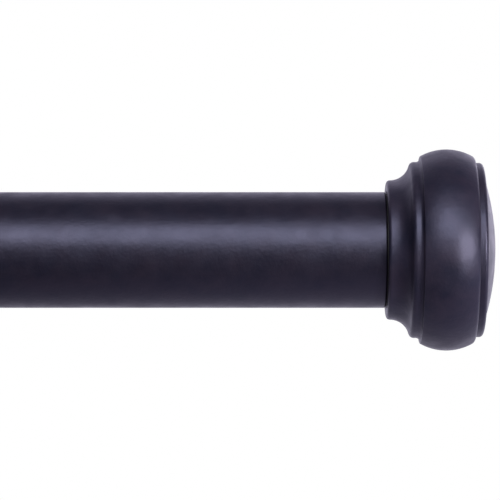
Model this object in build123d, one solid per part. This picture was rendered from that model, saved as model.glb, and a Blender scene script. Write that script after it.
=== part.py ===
from build123d import *

import os
from math import sqrt

# Adjustable curtain rod: two telescoping steel tubes with a turned cap finial screwed to each end.
# Millimetres. X runs along the rod, Z is up, and the outer tube's finial is at the +X end.
# The origin is on the rod's axis, at the middle of the closed rod.

# Tubes
tube_diameter = 25.4
tube_wall = 0.7
inner_tube_wall = 0.7
closed_length = 711.2  # over the two tube ends, with the rod telescoped
bracket_room = 20.0  # bare inner tube between its finial and the outer tube, with the rod closed
park_gap = 13.0  # between the glide and the right-hand insert, with the rod closed
burr_round = 0.2
rolled_edge = 0.4  # round on a tube's end under the finial

# Radial clearances
press_gap = 0.05
slide_gap = 0.1
glide_gap = 0.15
recess_gap = 0.3
thread_gap = 0.05

# Guide in the outer tube's mouth
guide_wall = 0.75
guide_length = 24.0
guide_lip = 2.2
guide_lip_round = 0.9

# Glide on the inner tube's buried end
glide_stem = 14.0
glide_head = 8.0
glide_wall = 2.0
glide_chamfer = 0.8

# Inserts in the tube ends
insert_flange = 1.5
flange_inset = 0.4  # edge of the flange below the outer tube's surface
insert_tail = 10.0  # past the nut
insert_chamfer = 0.8
rib_count = 8
rib_width = 1.6
rib_height = 0.5

# Captive nuts
nut_across_flats = 10.0
nut_height = 5.0
nut_chamfer = 0.5
nut_cover = 4.0  # insert left between the finial and the nut
nut_gap = 0.1

# Finial studs
stud_diameter = 6.0
stud_past_nut = 9.0  # keeps the stud in the nut over the finial's whole travel
stud_chamfer = 0.7
stud_hole_gap = 0.4

# Finial cap: the steps of its profile, in order from the mouth to the dome
mouth_gap = 0.15  # between the tube's end and the mouth
collar_wall = 2.65
lip_round = 0.75
lip_flat = 0.05
cove_run = 4.3
cove_rise = 4.0
bead_round = 1.05
bead_flat = 0.3
quirk_round = 0.9  # hollow between the bead and the bulb
bulb_rise = 2.75  # crest of the bulb above the bead
bulb_curve = 11.6  # radius of the bulb's profile
bulb_inner_reach = 5.75  # from the crest towards the mouth
bulb_outer_reach = 6.2  # from the crest towards the dome
rim_step = 1.15  # rim below the bulb's outer edge
rim_width = 1.75
face_margin = 2.45  # flat ring around the dome
dome_height = 2.7

# Finial cap: other edges and its core
recess_chamfer = 0.3
rim_foot_round = 0.12
inner_shoulder_round = 0.3
outer_shoulder_round = 1.2
rim_round = 0.8
cap_skin = 12.0  # solid left between the stud and the top of the dome

# Radii that follow from the sizes above
tube_radius = tube_diameter / 2
bore_radius = tube_radius - tube_wall
guide_radius = bore_radius - press_gap
guide_bore_radius = guide_radius - guide_wall
inner_tube_radius = guide_bore_radius - slide_gap
inner_bore_radius = inner_tube_radius - inner_tube_wall
stud_radius = stud_diameter / 2
flange_radius = tube_radius - flange_inset
recess_radius = flange_radius + recess_gap
collar_radius = recess_radius + collar_wall
bead_radius = collar_radius + cove_rise
bulb_radius = bead_radius + bulb_rise
bulb_inner_radius = bulb_radius - bulb_curve + sqrt(bulb_curve**2 - bulb_inner_reach**2)
bulb_outer_radius = bulb_radius - bulb_curve + sqrt(bulb_curve**2 - bulb_outer_reach**2)
quirk_limit = bulb_inner_radius - bead_radius - inner_shoulder_round
rim_radius = bulb_outer_radius - rim_step
dome_radius = rim_radius - face_margin

# Lengths that follow, measured outward from a tube's end
nut_top = insert_flange - nut_cover
nut_bottom = nut_top - nut_height
insert_bottom = nut_bottom - insert_tail
cove_start = mouth_gap + lip_round + lip_flat
bead_start = cove_start + cove_run
bulb_start = bead_start + bead_round + bead_flat + quirk_round
bulb_crest = bulb_start + bulb_inner_reach
bulb_end = bulb_crest + bulb_outer_reach
rim_end = bulb_end + rim_width
dome_top = rim_end + dome_height
stud_outer_end = dome_top - cap_skin
stud_inner_end = nut_bottom - stud_past_nut

# Places along the rod
right_end = closed_length / 2
left_end = -closed_length / 2
outer_mouth = left_end - mouth_gap + bracket_room + guide_lip
buried_end = right_end + insert_bottom - park_gap - glide_head


def turned(section):
    """Solid of a section, drawn as axial position and radius, turned about the rod's axis."""
    return revolve(section, Axis.X)


def rounded(section, corner, radius):
    """Section with the corner nearest to a point rounded."""
    vertex = section.vertices().sort_by_distance(Vector(*corner))[0]
    return fillet([vertex], radius)


def bevelled(section, corner, length):
    """Section with the corner nearest to a point cut off."""
    vertex = section.vertices().sort_by_distance(Vector(*corner))[0]
    return chamfer([vertex], length)


def rectangle(start, end, inner_radius, outer_radius):
    """Section of a plain ring, from one axial position to another."""
    corners = [(start, inner_radius), (end, inner_radius), (end, outer_radius), (start, outer_radius)]
    return make_face(Polyline(*corners, close=True))


def hexagon(start, end, across_flats):
    """Hexagonal prism along the rod's axis."""
    face = Plane.YZ.offset(start) * RegularPolygon(across_flats / 2, 6, major_radius=False)
    return extrude(face, end - start, dir=(1, 0, 0))


def tube(finial_end, free_end, outer_radius, wall):
    """Steel tube, rolled over at its finial's end and broken at its other edge."""
    start, end = sorted((finial_end, free_end))
    section = rectangle(start, end, outer_radius - wall, outer_radius)
    section = rounded(section, (finial_end, outer_radius), min(rolled_edge, wall))
    section = rounded(section, (free_end, outer_radius), min(burr_round, wall))
    return turned(section)


def mouth_guide():
    """Sleeve inside the outer tube's mouth, with a rounded lip that covers the tube's cut edge."""
    inner_end = outer_mouth + guide_length
    lip_end = outer_mouth - guide_lip
    sleeve = rectangle(outer_mouth, inner_end, guide_bore_radius, guide_radius)
    lip = rectangle(lip_end, outer_mouth, guide_bore_radius, tube_radius)
    lip = rounded(lip, (lip_end, tube_radius), guide_lip_round)
    return turned(sleeve) + turned(lip)


def glide_plug():
    """Glide with a stem inside the inner tube and a head that runs in the outer tube."""
    stem_radius = inner_bore_radius - press_gap
    head_radius = bore_radius - glide_gap
    hollow_radius = stem_radius - glide_wall
    stem = rectangle(buried_end - glide_stem, buried_end, hollow_radius, stem_radius)
    stem = bevelled(stem, (buried_end - glide_stem, stem_radius), glide_chamfer)
    head = rectangle(buried_end, buried_end + glide_head, hollow_radius, head_radius)
    head = bevelled(head, (buried_end + glide_head, head_radius), glide_chamfer)
    head = bevelled(head, (buried_end, head_radius), glide_chamfer)
    return turned(stem) + turned(head)


def end_insert(tube_bore_radius):
    """Ribbed plug for a tube's end, with a flange, a hole for the stud and a pocket for the nut."""
    rib_top = tube_bore_radius - press_gap
    core_radius = rib_top - rib_height
    hole_radius = stud_radius + stud_hole_gap
    core = rectangle(insert_bottom, 0, hole_radius, core_radius)
    core = bevelled(core, (insert_bottom, core_radius), insert_chamfer)
    insert = turned(core) + turned(rectangle(0, insert_flange, hole_radius, flange_radius))

    rib_start = insert_bottom + insert_chamfer
    rib_band = turned(rectangle(rib_start, 0, core_radius - rib_height, rib_top))
    rib_bar = Box(-rib_start, rib_width, rib_top, align=(Align.MIN, Align.CENTER, Align.MIN))
    for number in range(rib_count):
        turn = Rot(number * 360 / rib_count, 0, 0)
        insert += rib_band & (turn * Pos(rib_start, 0, 0) * rib_bar)
    return insert - hexagon(insert_bottom, nut_top, nut_across_flats + 2 * nut_gap)


def insert_nut():
    """Hex nut with its corners broken on both faces."""
    corner_radius = nut_across_flats / sqrt(3)
    barrel = rectangle(nut_bottom, nut_top, stud_radius + thread_gap, corner_radius)
    barrel = bevelled(barrel, (nut_bottom, corner_radius), nut_chamfer)
    barrel = bevelled(barrel, (nut_top, corner_radius), nut_chamfer)
    return hexagon(nut_bottom, nut_top, nut_across_flats) & turned(barrel)


def finial_stud():
    """Threaded stud, plain at its major diameter, with bevelled ends."""
    section = rectangle(stud_inner_end, stud_outer_end, 0, stud_radius)
    section = bevelled(section, (stud_inner_end, stud_radius), stud_chamfer)
    section = bevelled(section, (stud_outer_end, stud_radius), stud_chamfer)
    return turned(section)


def finial_cap():
    """Turned cap: collar, cove, bead, bulb, rim and low dome, with a recess for the flange and a stud hole."""
    stud_hole_radius = stud_radius + thread_gap
    mouth_edge = (mouth_gap, collar_radius)
    cove_foot = (cove_start, collar_radius)
    cove_top = (bead_start, bead_radius)
    quirk = (bulb_start, bead_radius)
    bulb_foot = (bulb_start, bulb_inner_radius)
    bulb_top = (bulb_crest, bulb_radius)
    bulb_edge = (bulb_end, bulb_outer_radius)
    rim_foot = (bulb_end, rim_radius)
    rim_edge = (rim_end, rim_radius)
    dome_edge = (rim_end, dome_radius)
    dome_centre = (dome_top, 0)

    outline = [
        Polyline(
            dome_centre,
            (stud_outer_end, 0),
            (stud_outer_end, stud_hole_radius),
            (insert_flange, stud_hole_radius),
            (insert_flange, recess_radius),
            (mouth_gap, recess_radius),
            mouth_edge,
            cove_foot,
        ),
        TangentArc(cove_foot, cove_top, tangent=(1, 0)),
        Polyline(cove_top, quirk, bulb_foot),
        ThreePointArc(bulb_foot, bulb_top, bulb_edge),
        Polyline(bulb_edge, rim_foot, rim_edge, dome_edge),
        TangentArc(dome_centre, dome_edge, tangent=(0, 1)),
    ]
    section = make_face(outline)
    section = bevelled(section, (mouth_gap, recess_radius), recess_chamfer)
    section = rounded(section, mouth_edge, lip_round)
    section = rounded(section, cove_top, bead_round)
    section = rounded(section, quirk, min(quirk_round, quirk_limit))
    section = rounded(section, bulb_foot, inner_shoulder_round)
    section = rounded(section, bulb_edge, min(outer_shoulder_round, rim_step))
    section = rounded(section, rim_foot, rim_foot_round)
    section = rounded(section, rim_edge, rim_round)
    return turned(section)


at_right = Pos(right_end, 0, 0)
at_left = Pos(left_end, 0, 0) * Rot(0, 0, 180)
cap = finial_cap()
stud = finial_stud()
nut = insert_nut()

pieces = {
    "outer_tube": tube(right_end, outer_mouth, tube_radius, tube_wall),
    "inner_tube": tube(left_end, buried_end, inner_tube_radius, inner_tube_wall),
    "mouth_guide": mouth_guide(),
    "glide_plug": glide_plug(),
    "right_end_insert": at_right * end_insert(bore_radius),
    "left_end_insert": at_left * end_insert(inner_bore_radius),
    "right_insert_nut": at_right * nut,
    "left_insert_nut": at_left * nut,
    "right_finial_stud": at_right * stud,
    "left_finial_stud": at_left * stud,
    "right_finial_cap": at_right * cap,
    "left_finial_cap": at_left * cap,
}

os.makedirs("parts", exist_ok=True)
for name, piece in pieces.items():
    export_step(piece, f"parts/{name}.step")
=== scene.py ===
import math

import bmesh
import bpy
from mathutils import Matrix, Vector


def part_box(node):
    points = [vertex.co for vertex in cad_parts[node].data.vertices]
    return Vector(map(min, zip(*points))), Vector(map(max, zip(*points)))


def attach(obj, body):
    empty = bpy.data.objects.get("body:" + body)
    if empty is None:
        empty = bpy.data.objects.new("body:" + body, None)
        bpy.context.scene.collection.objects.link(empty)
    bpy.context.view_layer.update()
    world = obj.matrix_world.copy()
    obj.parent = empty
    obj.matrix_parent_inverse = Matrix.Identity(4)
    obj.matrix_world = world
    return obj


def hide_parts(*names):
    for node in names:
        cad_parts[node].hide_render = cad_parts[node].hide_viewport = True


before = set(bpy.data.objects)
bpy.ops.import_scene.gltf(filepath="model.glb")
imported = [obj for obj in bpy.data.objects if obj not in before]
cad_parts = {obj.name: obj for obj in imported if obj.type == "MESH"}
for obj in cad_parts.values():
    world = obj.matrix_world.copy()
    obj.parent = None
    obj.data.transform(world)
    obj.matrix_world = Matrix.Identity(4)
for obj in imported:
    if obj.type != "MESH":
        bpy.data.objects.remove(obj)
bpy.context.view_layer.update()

# A satin black curtain rod with turned cap finials, photographed square to its axis at the right-hand end.
# Metres. X runs along the rod and Z is up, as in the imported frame.

mm = 0.001

# Finial cap: the steps of its profile, in order from the mouth to the dome
recess_gap = 0.3 * mm
recess_chamfer = 0.3 * mm
collar_wall = 2.65 * mm
lip_round = 0.75 * mm
lip_flat = 0.05 * mm
cove_run = 4.3 * mm
cove_rise = 4.0 * mm
bead_round = 1.05 * mm
bead_flat = 0.3 * mm
quirk_round = 0.9 * mm
bulb_rise = 2.75 * mm
bulb_curve = 11.6 * mm
bulb_inner_reach = 5.75 * mm
bulb_outer_reach = 6.2 * mm
inner_shoulder_round = 0.3 * mm
outer_shoulder_round = 1.2 * mm
rim_step = 1.15 * mm
rim_width = 1.75 * mm
rim_round = 0.8 * mm
face_margin = 2.45 * mm
dome_height = 2.7 * mm

# Tubes and guide
tube_wall = 0.7 * mm
rolled_edge = 0.4 * mm
burr_round = 0.2 * mm
tube_ring_spacing = 12.0 * mm
slide_gap = 0.1 * mm
press_gap = 0.05 * mm
guide_length = 24.0 * mm
guide_lip_round = 0.9 * mm
guide_edge_round = 0.15 * mm

# Stud thread
thread_pitch = 1.0 * mm
thread_depth = 0.61 * mm
thread_crest = 0.12  # of the pitch
thread_root = 0.12
thread_steps = 16
thread_chamfer = 0.7 * mm
thread_sides = 48

# Mesh fineness
turned_sides = 192
point_radius = 1e-6 * mm  # a smaller ring is one point on the axis
arc_step = 0.45 * mm
arc_turn = math.radians(9)
sharp_edge = math.radians(32)
quarter = math.radians(90)

# Photograph: a square picture, with the rod's axis along its middle line
picture_width = 500
metres_per_pixel = 0.2188 * mm
middle_to_mouth = 136.0  # pixels, from the picture's middle to the finial's mouth
camera_distance = 0.638
sensor_width = 36.0

# Satin paint: colours for a depth of 1, then the sizes of its clouds, grain and orange peel
blue_black = (0.0016, 0.0021, 0.0064)
red_black = (0.0104, 0.0071, 0.0126)
gloss_tint = (0.67, 0.64, 1.0, 1)
cloud_detail = 5.0
cloud_roughness = 0.65
tint_scale = 170.0
sheen_scale = 240.0
grain_scale = 1400.0
grain_strength = 0.7
grain_height = 0.045 * mm
peel_scale = 260.0
peel_strength = 0.6
peel_height = 0.1 * mm

# Black nylon
nylon_dark = (0.011, 0.011, 0.012, 1)
nylon_pale = (0.017, 0.017, 0.018, 1)
nylon_cloud_scale = 120.0
nylon_grain_scale = 2200.0
nylon_grain_strength = 0.25
nylon_grain_height = 0.03 * mm
nylon_roughness = (0.5, 0.64)

# Plated steel
zinc_grey = (0.58, 0.58, 0.56, 1)
zinc_yellow = (0.66, 0.63, 0.54, 1)
zinc_cloud_scale = 260.0
zinc_sheen_scale = 900.0
zinc_detail = 3.0
zinc_roughness = (0.26, 0.42)

# Room that the rod reflects: a ramp is two brightnesses, then where they lie along one axis of a direction
room_ramp = (0.05, 0.92, 0.3, 0.92)
backdrop_glow_ramp = (0.0, 0.6, 0.90, 0.98)
ceiling_ramp = (0.0, 0.10, 0.2, 0.8)
right_wall_ramp = (0.0, 0.16, 0.2, 0.8)
room_tint = (0.97, 0.92, 1.14, 1)

# Floor: a ramp is two shares, then the two places, in metres, where they lie
floor_level = -0.16
floor_size = 60.0
floor_grey = (0.8, 0.8, 0.8, 1)
floor_stretch = (0.7, 1.0, 0.0)
floor_shown_ramp = (0.45, 0.0, 0.2, 1.0)
floor_dim = (0.20, 0.18, 0.195, 1)
backdrop_tint = (0.96, 0.92, 1.1, 1)
backdrop_start = (0.34, 0.0, 0.0)
backdrop_direction = (0.8, 1.0, 0.0)
backdrop_ramp = (0.0, 1.0, -0.2, 0.45)
left_glow_ramp = (0.0, 0.6, -0.35, -0.9)
white = (1, 1, 1, 1)
black = (0, 0, 0, 1)

# Lamps
side_azimuth = 35


def along(start, end, spacing):
    """Places that divide a length into even steps, both ends included."""
    count = max(1, round(abs(end - start) / spacing))
    return [start + (end - start) * i / count for i in range(count + 1)]


def arc(centre, radius, start, end):
    """Points of an arc in a section. An angle of 0 points away from the rod's axis and 90 degrees along X."""
    place, height = centre
    sweep = abs(end - start)
    spacing = sweep / math.ceil(max(sweep / arc_turn, sweep * radius / arc_step))
    angles = along(start, end, spacing)
    return [(place + radius * math.sin(angle), height + radius * math.cos(angle)) for angle in angles]


def turned_mesh(name, outline, closed=False):
    """Mesh of an outline of (place along X, radius) points turned about the rod's axis.

    An open outline starts and ends on the axis, and a closed one is a ring's section.
    """
    mesh = bmesh.new()
    rings = []
    for place, radius in outline:
        if radius < point_radius:
            rings.append([mesh.verts.new((place, 0, 0))])
            continue
        ring = []
        for side in range(turned_sides):
            angle = 2 * math.pi * side / turned_sides
            ring.append(mesh.verts.new((place, radius * math.cos(angle), radius * math.sin(angle))))
        rings.append(ring)
    pairs = list(zip(rings, rings[1:]))
    if closed:
        pairs.append((rings[-1], rings[0]))
    for first, second in pairs:
        for side in range(turned_sides):
            after = (side + 1) % turned_sides
            corners = [first[side % len(first)], first[after % len(first)]]
            corners += [second[after % len(second)], second[side % len(second)]]
            mesh.faces.new(list(dict.fromkeys(corners)))
    return finished_piece(name, mesh)


def finished_piece(name, mesh):
    """Object from a bmesh, with outward faces, smooth shading and even normals."""
    bmesh.ops.recalc_face_normals(mesh, faces=mesh.faces)
    for face in mesh.faces:
        face.smooth = True
    data = bpy.data.meshes.new(name)
    mesh.to_mesh(data)
    mesh.free()
    piece = bpy.data.objects.new(name, data)
    bpy.context.scene.collection.objects.link(piece)
    data.set_sharp_from_angle(angle=sharp_edge)
    normals = piece.modifiers.new("even_normals", "WEIGHTED_NORMAL")
    normals.keep_sharp = True
    return piece


def cap_outline():
    """Outline of the finial cap from its stud hole to its dome, measured from the mouth."""
    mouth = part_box("right_finial_cap")[0].x
    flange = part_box("right_end_insert")[1]
    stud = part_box("right_finial_stud")[1]
    recess_depth = flange.x - mouth
    recess_radius = flange.z + recess_gap
    stud_end = stud.x - mouth
    stud_radius = stud.z
    collar_radius = recess_radius + collar_wall
    bead_radius = collar_radius + cove_rise
    bulb_radius = bead_radius + bulb_rise
    cove_start = lip_round + lip_flat
    bulb_start = cove_start + cove_run + bead_round + bead_flat + quirk_round
    bulb_crest = bulb_start + bulb_inner_reach
    bulb_end = bulb_crest + bulb_outer_reach
    rim_end = bulb_end + rim_width

    outline = [
        (stud_end, 0),
        (stud_end, stud_radius),
        (recess_depth, stud_radius),
        (recess_depth, recess_radius),
        (recess_chamfer, recess_radius),
        (0, recess_radius + recess_chamfer),
    ]
    outline += arc((lip_round, collar_radius - lip_round), lip_round, -quarter, 0)

    # The cove runs into the bead's first round, and both bend on one line through their centres
    cove_radius = (cove_run**2 + cove_rise**2) / (2 * cove_rise)
    cove_centre_radius = collar_radius + cove_radius
    drop = cove_centre_radius - (bead_radius - bead_round)
    reach = math.sqrt((cove_radius + bead_round) ** 2 - drop**2)
    bend = math.atan2(reach, drop)
    outline += arc((cove_start, cove_centre_radius), cove_radius, 2 * quarter, 2 * quarter - bend)
    outline += arc((cove_start + reach, bead_radius - bead_round), bead_round, -bend, 0)[1:]
    outline += arc((bulb_start - quirk_round, bead_radius + quirk_round), quirk_round, 2 * quarter, quarter)

    # The bulb is one arc, with its shoulders rounded into the walls on both sides of it
    bulb_centre_radius = bulb_radius - bulb_curve
    inner_offset = bulb_inner_reach - inner_shoulder_round
    outer_offset = bulb_outer_reach - outer_shoulder_round
    inner_bend = math.asin(inner_offset / (bulb_curve - inner_shoulder_round))
    outer_bend = math.asin(outer_offset / (bulb_curve - outer_shoulder_round))
    inner_height = bulb_centre_radius + (bulb_curve - inner_shoulder_round) * math.cos(inner_bend)
    outer_height = bulb_centre_radius + (bulb_curve - outer_shoulder_round) * math.cos(outer_bend)
    outline += arc((bulb_crest - inner_offset, inner_height), inner_shoulder_round, -quarter, -inner_bend)
    outline += arc((bulb_crest, bulb_centre_radius), bulb_curve, -inner_bend, outer_bend)[1:]
    outline += arc((bulb_crest + outer_offset, outer_height), outer_shoulder_round, outer_bend, quarter)[1:]

    rim_radius = bulb_centre_radius + math.sqrt(bulb_curve**2 - bulb_outer_reach**2) - rim_step
    dome_radius = rim_radius - face_margin
    dome_curve = (dome_radius**2 + dome_height**2) / (2 * dome_height)
    dome_bend = math.acos(dome_radius / dome_curve)
    outline.append((bulb_end, rim_radius))
    outline += arc((rim_end - rim_round, rim_radius - rim_round), rim_round, 0, quarter)
    outline += arc((rim_end + dome_height - dome_curve, 0), dome_curve, dome_bend, quarter)
    return outline


def finial_cap(side, outline):
    """Cap finial of one end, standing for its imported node."""
    node = f"{side}_finial_cap"
    low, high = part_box(node)
    mouth, outward = (low.x, 1) if side == "right" else (high.x, -1)
    placed = [(mouth + outward * place, radius) for place, radius in outline]
    piece = turned_mesh(f"{side}_cap_casting", placed)
    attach(piece, f"{side}_finial")
    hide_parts(node)
    return piece


def tube(name, node, body, left_round, right_round):
    """Smooth tube standing for a packed tube, with its ends rounded."""
    low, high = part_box(node)
    outer_radius = high.z
    inner_radius = outer_radius - tube_wall
    straight = along(low.x + left_round, high.x - right_round, tube_ring_spacing)
    outline = arc((straight[0], outer_radius - left_round), left_round, -quarter, 0)
    outline += [(place, outer_radius) for place in straight[1:-1]]
    outline += arc((straight[-1], outer_radius - right_round), right_round, 0, quarter)
    outline += [(place, inner_radius) for place in (high.x, *reversed(straight[1:-1]), low.x)]
    piece = turned_mesh(name, outline, closed=True)
    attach(piece, body)
    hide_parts(node)
    return piece


def finial_stud(side):
    """Stud with a cut right-hand thread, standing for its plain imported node."""
    node = f"{side}_finial_stud"
    low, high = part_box(node)
    major_radius = high.z
    flank_width = 0.5 - thread_crest / 2 - thread_root / 2
    mesh = bmesh.new()
    rings = []
    for place in along(low.x, high.x, thread_pitch / thread_steps):
        ring = []
        end_gap = min(place - low.x, high.x - place)
        chamfer_radius = major_radius - thread_chamfer + end_gap
        for number in range(thread_sides):
            angle = 2 * math.pi * number / thread_sides
            turn = (place / thread_pitch - angle / (2 * math.pi)) % 1.0
            flank = (abs(turn - 0.5) - thread_crest / 2) / flank_width
            radius = min(major_radius - thread_depth * min(1.0, max(0.0, flank)), chamfer_radius)
            ring.append(mesh.verts.new((place, radius * math.cos(angle), radius * math.sin(angle))))
        rings.append(ring)
    for first, second in zip(rings, rings[1:]):
        for number in range(thread_sides):
            after = (number + 1) % thread_sides
            mesh.faces.new((first[number], first[after], second[after], second[number]))
    mesh.faces.new(rings[0])
    mesh.faces.new(rings[-1])
    piece = finished_piece(f"{side}_stud_thread", mesh)
    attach(piece, f"{side}_stud")
    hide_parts(node)
    return piece


def mouth_guide():
    """Guide in the outer tube's mouth, with a rounded lip."""
    low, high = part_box("mouth_guide")
    mouth = high.x - guide_length
    lip_radius = high.z
    inner_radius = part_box("inner_tube")[1].z + slide_gap
    sleeve_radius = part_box("outer_tube")[1].z - tube_wall - press_gap
    edge_centre = (low.x + guide_edge_round, inner_radius + guide_edge_round)
    lip_centre = (low.x + guide_lip_round, lip_radius - guide_lip_round)
    outline = arc(edge_centre, guide_edge_round, -2 * quarter, -quarter)
    outline += arc(lip_centre, guide_lip_round, -quarter, 0)
    outline += [(mouth, lip_radius), (mouth, sleeve_radius), (high.x, sleeve_radius), (high.x, inner_radius)]
    piece = turned_mesh("mouth_guide_ring", outline, closed=True)
    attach(piece, "outer_section")
    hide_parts("mouth_guide")
    return piece


class Nodes:
    """Short way to add linked nodes to a material or a world."""

    def __init__(self, tree):
        self.tree = tree
        tree.nodes.clear()

    def add(self, kind, inputs=None, **settings):
        node = self.tree.nodes.new(kind)
        for key, value in settings.items():
            setattr(node, key, value)
        for key, value in (inputs or {}).items():
            if isinstance(value, bpy.types.NodeSocket):
                self.tree.links.new(value, node.inputs[key])
            else:
                node.inputs[key].default_value = value
        return node

    def noise(self, vector, scale, detail=2.0, roughness=0.5):
        inputs = {"Vector": vector, "Scale": scale, "Detail": detail, "Roughness": roughness}
        return self.add("ShaderNodeTexNoise", inputs).outputs["Fac"]

    def ranged(self, value, low, high, from_low=0.3, from_high=0.7):
        # Without ends of its own, the value is a noise, which lies mostly from 0.3 to 0.7
        inputs = {"Value": value, "From Min": from_low, "From Max": from_high, "To Min": low, "To Max": high}
        return self.add("ShaderNodeMapRange", inputs).outputs["Result"]

    def bump(self, height, strength, distance, under=None):
        inputs = {"Height": height, "Strength": strength, "Distance": distance}
        if under is not None:
            inputs["Normal"] = under
        return self.add("ShaderNodeBump", inputs).outputs["Normal"]

    def combined(self, operation, first, second):
        return self.add("ShaderNodeMath", {0: first, 1: second}, operation=operation).outputs[0]

    def mixed(self, share, first, second):
        # Sockets of a Mix node go by number, because its kinds of data share their names
        node = self.add("ShaderNodeMix", data_type="RGBA")
        for socket, value in ((node.inputs[0], share), (node.inputs[6], first), (node.inputs[7], second)):
            if isinstance(value, bpy.types.NodeSocket):
                self.tree.links.new(value, socket)
            else:
                socket.default_value = value
        return node.outputs[2]


def new_material(name):
    material = bpy.data.materials.new(name)
    material.use_nodes = True
    return material, Nodes(material.node_tree)


def satin_paint(name, depth, smoothest, roughest, gloss):
    """Dark satin paint: a fine grain, a cloudy sheen and a slight shift from blue-black to red-black."""
    material, nodes = new_material(name)
    place = nodes.add("ShaderNodeTexCoord").outputs["Object"]
    tint = nodes.ranged(nodes.noise(place, tint_scale, cloud_detail, cloud_roughness), 0.0, 1.0)
    cool = [part * depth for part in blue_black] + [1]
    warm = [part * depth for part in red_black] + [1]
    colour = nodes.mixed(tint, cool, warm)
    cloud = nodes.noise(place, sheen_scale, cloud_detail, cloud_roughness)
    sheen = nodes.ranged(cloud, smoothest, roughest)
    grain = nodes.noise(place, grain_scale)
    peel = nodes.noise(place, peel_scale, detail=1.0)
    fine = nodes.bump(grain, grain_strength, grain_height)
    bump = nodes.bump(peel, peel_strength, peel_height, fine)
    shader = nodes.add(
        "ShaderNodeBsdfPrincipled",
        {
            "Base Color": colour,
            "Roughness": sheen,
            "Normal": bump,
            "Specular IOR Level": gloss,
            "Specular Tint": gloss_tint,
        },
    )
    nodes.add("ShaderNodeOutputMaterial", {"Surface": shader.outputs["BSDF"]})
    return material


def black_nylon():
    """Moulded black nylon with a fine matt grain."""
    material, nodes = new_material("black_nylon")
    place = nodes.add("ShaderNodeTexCoord").outputs["Object"]
    grain = nodes.noise(place, nylon_grain_scale, detail=3.0)
    colour = nodes.mixed(nodes.noise(place, nylon_cloud_scale), nylon_dark, nylon_pale)
    sheen = nodes.ranged(grain, *nylon_roughness)
    bump = nodes.bump(grain, nylon_grain_strength, nylon_grain_height)
    shader = nodes.add("ShaderNodeBsdfPrincipled", {"Base Color": colour, "Roughness": sheen, "Normal": bump})
    nodes.add("ShaderNodeOutputMaterial", {"Surface": shader.outputs["BSDF"]})
    return material


def plated_steel():
    """Bright zinc plating with a cloudy, faintly yellow passivation."""
    material, nodes = new_material("plated_steel")
    place = nodes.add("ShaderNodeTexCoord").outputs["Object"]
    cloud = nodes.ranged(nodes.noise(place, zinc_cloud_scale, zinc_detail), 0.0, 1.0)
    colour = nodes.mixed(cloud, zinc_grey, zinc_yellow)
    sheen = nodes.ranged(nodes.noise(place, zinc_sheen_scale, zinc_detail), *zinc_roughness)
    inputs = {"Base Color": colour, "Roughness": sheen, "Metallic": 1.0}
    shader = nodes.add("ShaderNodeBsdfPrincipled", inputs)
    nodes.add("ShaderNodeOutputMaterial", {"Surface": shader.outputs["BSDF"]})
    return material


def paint(piece, material):
    """Gives a piece one material all over."""
    piece.data.materials.clear()
    piece.data.materials.append(material)


def studio_world():
    """White to camera and transmission rays; to others, a dim room with a white backdrop behind the rod."""
    world = bpy.data.worlds.new("studio")
    bpy.context.scene.world = world
    world.use_nodes = True
    nodes = Nodes(world.node_tree)
    direction = nodes.add("ShaderNodeTexCoord").outputs["Generated"]
    parts = nodes.add("ShaderNodeSeparateXYZ", {"Vector": direction}).outputs
    room = nodes.ranged(parts["Y"], *room_ramp)
    glow = nodes.ranged(parts["Y"], *backdrop_glow_ramp)
    ceiling = nodes.ranged(parts["Z"], *ceiling_ramp)
    right_wall = nodes.ranged(parts["X"], *right_wall_ramp)
    total = nodes.combined("ADD", room, glow)
    total = nodes.combined("ADD", total, ceiling)
    total = nodes.combined("ADD", total, right_wall)
    path = nodes.add("ShaderNodeLightPath").outputs
    seen = nodes.combined("MAXIMUM", path["Is Camera Ray"], path["Is Transmission Ray"])
    tinted = nodes.mixed(total, black, room_tint)
    background = nodes.add("ShaderNodeBackground", {"Color": nodes.mixed(seen, tinted, white)})
    nodes.add("ShaderNodeOutputWorld", {"Surface": background.outputs["Background"]})


def floor():
    """Pale floor well below the rod: it keeps the rod's soft shadow and fades to white away from it."""
    corner = floor_size / 2
    mesh = bmesh.new()
    places = [(-corner, -corner), (corner, -corner), (corner, corner), (-corner, corner)]
    mesh.faces.new([mesh.verts.new((x, y, floor_level)) for x, y in places])
    data = bpy.data.meshes.new("floor")
    mesh.to_mesh(data)
    mesh.free()
    plane = bpy.data.objects.new("floor", data)
    bpy.context.scene.collection.objects.link(plane)
    paint(plane, floor_material())


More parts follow.
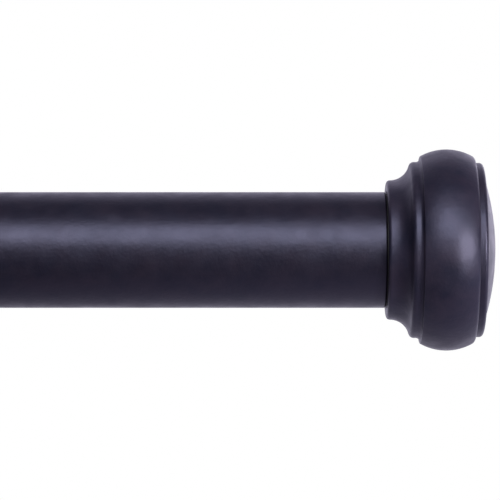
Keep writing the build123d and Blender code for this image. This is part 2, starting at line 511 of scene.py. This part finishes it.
def floor_material():
    """Pale and fading to white for the camera; for other rays, dim, with a bright far side and left end."""
    material, nodes = new_material("floor")
    place = nodes.add("ShaderNodeTexCoord").outputs["Object"]
    away = nodes.add("ShaderNodeVectorMath", {0: place, 1: floor_stretch}, operation="MULTIPLY")
    distance = nodes.add("ShaderNodeVectorMath", {0: away.outputs["Vector"]}, operation="LENGTH")
    shown_share = nodes.ranged(distance.outputs["Value"], *floor_shown_ramp)
    plain = nodes.add("ShaderNodeBsdfDiffuse", {"Color": floor_grey}).outputs["BSDF"]
    blank = nodes.add("ShaderNodeEmission", {"Color": white, "Strength": 1.0}).outputs["Emission"]
    pale = nodes.add("ShaderNodeMixShader", {0: shown_share, 1: blank, 2: plain}).outputs["Shader"]

    offset = nodes.add("ShaderNodeVectorMath", {0: place, 1: backdrop_start}, operation="SUBTRACT")
    depth_inputs = {0: offset.outputs["Vector"], 1: backdrop_direction}
    depth = nodes.add("ShaderNodeVectorMath", depth_inputs, operation="DOT_PRODUCT")
    behind = nodes.ranged(depth.outputs["Value"], *backdrop_ramp)
    across = nodes.add("ShaderNodeSeparateXYZ", {"Vector": place}).outputs["X"]
    lit_side = nodes.combined("MAXIMUM", behind, nodes.ranged(across, *left_glow_ramp))
    dim = nodes.add("ShaderNodeBsdfDiffuse", {"Color": floor_dim}).outputs["BSDF"]
    bright = nodes.add("ShaderNodeEmission", {"Color": backdrop_tint, "Strength": 1.0}).outputs["Emission"]
    bounce = nodes.add("ShaderNodeMixShader", {0: lit_side, 1: dim, 2: bright}).outputs["Shader"]

    seen = nodes.add("ShaderNodeLightPath").outputs["Is Camera Ray"]
    shown = nodes.add("ShaderNodeMixShader", {0: seen, 1: bounce, 2: pale}).outputs["Shader"]
    nodes.add("ShaderNodeOutputMaterial", {"Surface": shown})
    return material


def softbox(name, target, azimuth, elevation, distance, width, height, watts, colour, spread=180):
    """Rectangular area light, placed by its direction from the target as the camera sees it.

    A spread under 180 degrees narrows its beam, as a grid on the lamp does.
    """
    light = bpy.data.lights.new(name, "AREA")
    light.shape = "RECTANGLE"
    light.size = width
    light.size_y = height
    light.energy = watts
    light.color = colour
    light.spread = math.radians(spread)
    lamp = bpy.data.objects.new(name, light)
    bpy.context.scene.collection.objects.link(lamp)
    turn = math.radians(azimuth)
    rise = math.radians(elevation)
    outward = Vector((math.sin(turn) * math.cos(rise), -math.cos(turn) * math.cos(rise), math.sin(rise)))
    lamp.location = target + outward * distance
    lamp.rotation_euler = (-outward).to_track_quat("-Z", "Y").to_euler()
    lamp.visible_camera = False


def camera(target):
    """Camera square to the rod, with the photograph's scale and distance."""
    data = bpy.data.cameras.new("camera")
    data.sensor_width = sensor_width
    data.lens = sensor_width * camera_distance / (picture_width * metres_per_pixel)
    eye = bpy.data.objects.new("camera", data)
    bpy.context.scene.collection.objects.link(eye)
    eye.location = target + Vector((0, -camera_distance, 0))
    eye.rotation_euler = (quarter, 0, 0)
    bpy.context.scene.camera = eye


tube_paint = satin_paint("tube_paint", depth=1.0, smoothest=0.32, roughest=0.46, gloss=0.84)
cap_paint = satin_paint("cap_paint", depth=1.65, smoothest=0.355, roughest=0.495, gloss=0.85)
nylon = black_nylon()
steel = plated_steel()

paint(tube("outer_tube_shell", "outer_tube", "outer_section", burr_round, rolled_edge), tube_paint)
paint(tube("inner_tube_shell", "inner_tube", "inner_section", rolled_edge, burr_round), tube_paint)
paint(mouth_guide(), nylon)
outline = cap_outline()
for side in ("right", "left"):
    paint(finial_cap(side, outline), cap_paint)
    paint(finial_stud(side), steel)
    paint(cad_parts[f"{side}_insert_nut"], steel)
    paint(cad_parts[f"{side}_end_insert"], nylon)
paint(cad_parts["glide_plug"], nylon)

finial_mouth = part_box("right_finial_cap")[0].x
aim = Vector((finial_mouth - middle_to_mouth * metres_per_pixel, 0, 0))
camera(aim)
studio_world()
floor()
softbox(
    "key_softbox", aim, azimuth=-3, elevation=31, distance=1.3, width=1.25, height=0.78, watts=12.2,
    colour=(0.95, 1, 0.96),
)
for side, azimuth in (("right", side_azimuth), ("left", -side_azimuth)):
    cap_low, cap_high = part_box(f"{side}_finial_cap")
    cap_middle = (cap_low + cap_high) / 2
    softbox(
        f"{side}_softbox", cap_middle, azimuth, elevation=4, distance=0.5, width=0.16, height=0.16,
        watts=0.225, colour=(1, 1, 0.9), spread=60,
    )
softbox(
    "back_card", aim, azimuth=150, elevation=12, distance=1.6, width=0.9, height=0.9, watts=2.3,
    colour=(0.91, 0.87, 1),
)

bpy.context.scene.view_settings.view_transform = "Standard"
